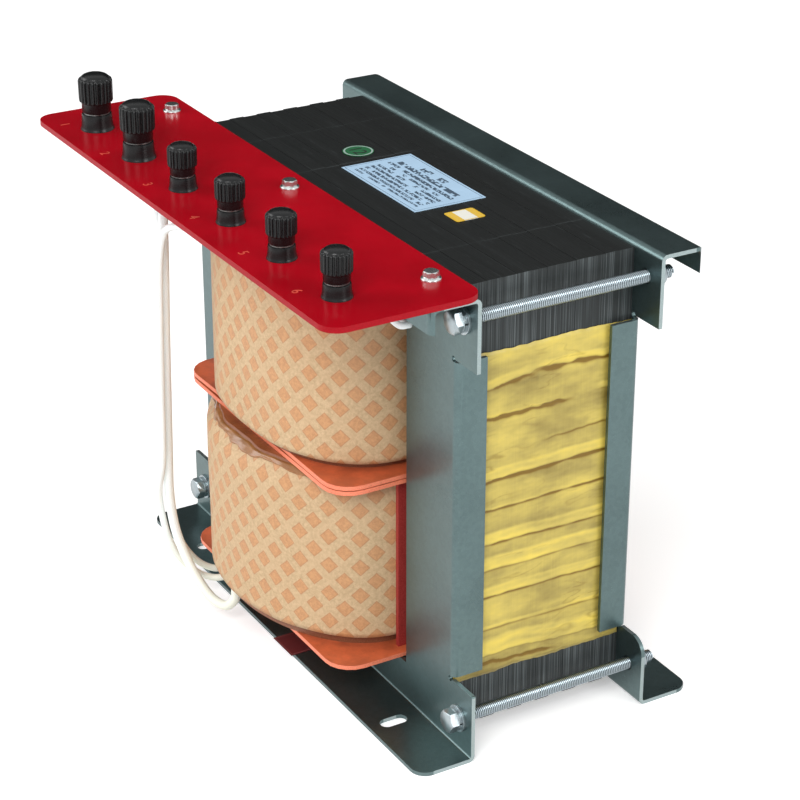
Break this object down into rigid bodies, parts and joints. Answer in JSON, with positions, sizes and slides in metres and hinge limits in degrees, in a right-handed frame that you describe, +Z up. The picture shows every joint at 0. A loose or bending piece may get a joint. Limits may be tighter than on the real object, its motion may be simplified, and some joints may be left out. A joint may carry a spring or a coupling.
{
  "type": "laminated chassis transformer",
  "caption": "Open-frame laminated transformer with folded sheet frames, wrapped stacked windings, slotted feet and a red board of screw terminals across the top.",
  "frame": {"origin": "middle of the whole outline, on the plane that the feet stand on", "axes": "+X along the terminal board to the right seen from the front, +Y toward the rear frame, +Z up"},
  "size_m": [0.4, 0.2804, 0.3405],
  "materials": {
    "varnished_steel": "black varnish over stacked sheet edges",
    "galvanised_sheet": "galvanised, satin",
    "zinc_hardware": "zinc plated",
    "yellow_film": "crinkled glossy film",
    "red_fibreboard": "smooth, satin",
    "enamelled_copper": "enamel on copper wire",
    "dotted_paper": "paper with resin diamonds",
    "brown_film": "glossy thin film",
    "maroon_board": "matt",
    "red_board": "glossy",
    "black_plastic": "semi-gloss",
    "brass_parts": "turned",
    "tinned_lug": "tin plated",
    "plated_washer": "plated",
    "blue_label": "printed film",
    "green_label": "printed film",
    "cream_label": "printed paper",
    "maroon_label": "printed film",
    "white_sleeve": "smooth sleeve"
  },
  "bodies": {
    "chassis": {"core_limb_left": "varnished_steel", "core_limb_centre": "varnished_steel", "core_limb_right": "varnished_steel", "core_yoke_top": "varnished_steel", "core_yoke_bottom": "varnished_steel", "frame_front": "galvanised_sheet", "frame_rear": "galvanised_sheet", "tie_bolts": "zinc_hardware", "tie_washers": "zinc_hardware", "tie_spring_washers": "zinc_hardware", "tie_nuts": "zinc_hardware", "limb_tape_left": "yellow_film", "limb_tape_right": "yellow_film", "bobbin_lower": "red_fibreboard", "bobbin_upper": "red_fibreboard", "winding_lower": "enamelled_copper", "winding_upper": "enamelled_copper", "paper_wrap_lower": "dotted_paper", "paper_wrap_upper": "dotted_paper", "film_lap": "brown_film", "packing_strip": "maroon_board", "terminal_board": "red_board", "board_screws": "zinc_hardware", "board_nuts": "zinc_hardware", "post_bases": "black_plastic", "post_studs": "brass_parts", "post_nuts": "brass_parts", "post_washers": "zinc_hardware", "ring_lugs": "tinned_lug", "rating_label": "blue_label", "round_label": "green_label", "small_label": "cream_label", "foot_label": "maroon_label", "lead_thick": "white_sleeve", "lead_left": "white_sleeve", "lead_middle": "white_sleeve", "lead_right": "white_sleeve"},
    "clamp_1": {"clamp_washer_1": "plated_washer"},
    "knob_1": {"knob_1": "black_plastic", "knob_insert_1": "brass_parts"},
    "clamp_2": {"clamp_washer_2": "plated_washer"},
    "knob_2": {"knob_2": "black_plastic", "knob_insert_2": "brass_parts"},
    "clamp_3": {"clamp_washer_3": "plated_washer"},
    "knob_3": {"knob_3": "black_plastic", "knob_insert_3": "brass_parts"},
    "clamp_4": {"clamp_washer_4": "plated_washer"},
    "knob_4": {"knob_4": "black_plastic", "knob_insert_4": "brass_parts"},
    "clamp_5": {"clamp_washer_5": "plated_washer"},
    "knob_5": {"knob_5": "black_plastic", "knob_insert_5": "brass_parts"},
    "clamp_6": {"clamp_washer_6": "plated_washer"},
    "knob_6": {"knob_6": "black_plastic", "knob_insert_6": "brass_parts"}
  },
  "joints": [
    {"name": "clamp_lift_1", "type": "slide", "parent": "chassis", "child": "clamp_1", "axis": [0, 0, 1], "range_m": [0, 0.0064]},
    {"name": "knob_turn_1", "type": "hinge", "parent": "clamp_1", "child": "knob_1", "pos_m": [-0.158, -0.11375, 0.31], "axis": [0, 0, 1], "range_deg": [0, 1800]},
    {"name": "clamp_lift_2", "type": "slide", "parent": "chassis", "child": "clamp_2", "axis": [0, 0, 1], "range_m": [0, 0.0064]},
    {"name": "knob_turn_2", "type": "hinge", "parent": "clamp_2", "child": "knob_2", "pos_m": [-0.094, -0.11375, 0.31], "axis": [0, 0, 1], "range_deg": [0, 1800]},
    {"name": "clamp_lift_3", "type": "slide", "parent": "chassis", "child": "clamp_3", "axis": [0, 0, 1], "range_m": [0, 0.0051]},
    {"name": "knob_turn_3", "type": "hinge", "parent": "clamp_3", "child": "knob_3", "pos_m": [-0.03, -0.11375, 0.31], "axis": [0, 0, 1], "range_deg": [0, 1800]},
    {"name": "clamp_lift_4", "type": "slide", "parent": "chassis", "child": "clamp_4", "axis": [0, 0, 1], "range_m": [0, 0.0051]},
    {"name": "knob_turn_4", "type": "hinge", "parent": "clamp_4", "child": "knob_4", "pos_m": [0.034, -0.11375, 0.31], "axis": [0, 0, 1], "range_deg": [0, 1800]},
    {"name": "clamp_lift_5", "type": "slide", "parent": "chassis", "child": "clamp_5", "axis": [0, 0, 1], "range_m": [0, 0.0051]},
    {"name": "knob_turn_5", "type": "hinge", "parent": "clamp_5", "child": "knob_5", "pos_m": [0.098, -0.11375, 0.31], "axis": [0, 0, 1], "range_deg": [0, 1800]},
    {"name": "clamp_lift_6", "type": "slide", "parent": "chassis", "child": "clamp_6", "axis": [0, 0, 1], "range_m": [0, 0.0051]},
    {"name": "knob_turn_6", "type": "hinge", "parent": "clamp_6", "child": "knob_6", "pos_m": [0.162, -0.11375, 0.31], "axis": [0, 0, 1], "range_deg": [0, 1800]}
  ],
  "couplings": [
    {"joint": "clamp_lift_1", "follows": "knob_turn_1", "m_per_rad": 0.00019894},
    {"joint": "clamp_lift_2", "follows": "knob_turn_2", "m_per_rad": 0.00019894},
    {"joint": "clamp_lift_3", "follows": "knob_turn_3", "m_per_rad": 0.00015915},
    {"joint": "clamp_lift_4", "follows": "knob_turn_4", "m_per_rad": 0.00015915},
    {"joint": "clamp_lift_5", "follows": "knob_turn_5", "m_per_rad": 0.00015915},
    {"joint": "clamp_lift_6", "follows": "knob_turn_6", "m_per_rad": 0.00015915}
  ]
}
